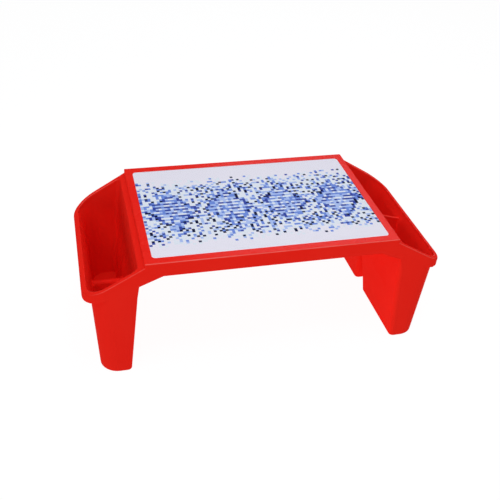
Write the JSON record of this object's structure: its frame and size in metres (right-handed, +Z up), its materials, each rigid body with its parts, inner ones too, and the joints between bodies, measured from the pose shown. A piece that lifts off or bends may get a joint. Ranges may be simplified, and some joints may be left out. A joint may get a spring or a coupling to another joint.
{
  "type": "lap desk",
  "caption": "Child's lap desk: a flat top with a framed printed sheet, carried at each end by a deep slanted side pocket that runs down into hollow tapered legs.",
  "frame": {"origin": "on the floor, under the middle of the desk top", "axes": "+X along the length, to the right of the person who uses it; +Y to the back; +Z up"},
  "size_m": [0.563, 0.273, 0.207],
  "materials": {
    "red_plastic": "satin moulded polypropylene",
    "adhesive": "matt",
    "printed_card": "matt print",
    "clear_film": "clear gloss"
  },
  "bodies": {
    "root": {"desk_top": "red_plastic", "front_apron": "red_plastic", "back_apron": "red_plastic", "left_pocket": "red_plastic", "left_front_leg": "red_plastic", "left_back_leg": "red_plastic", "right_pocket": "red_plastic", "right_front_leg": "red_plastic", "right_back_leg": "red_plastic", "adhesive_film": "adhesive", "printed_sheet": "printed_card", "clear_film": "clear_film"}
  },
  "joints": []
}
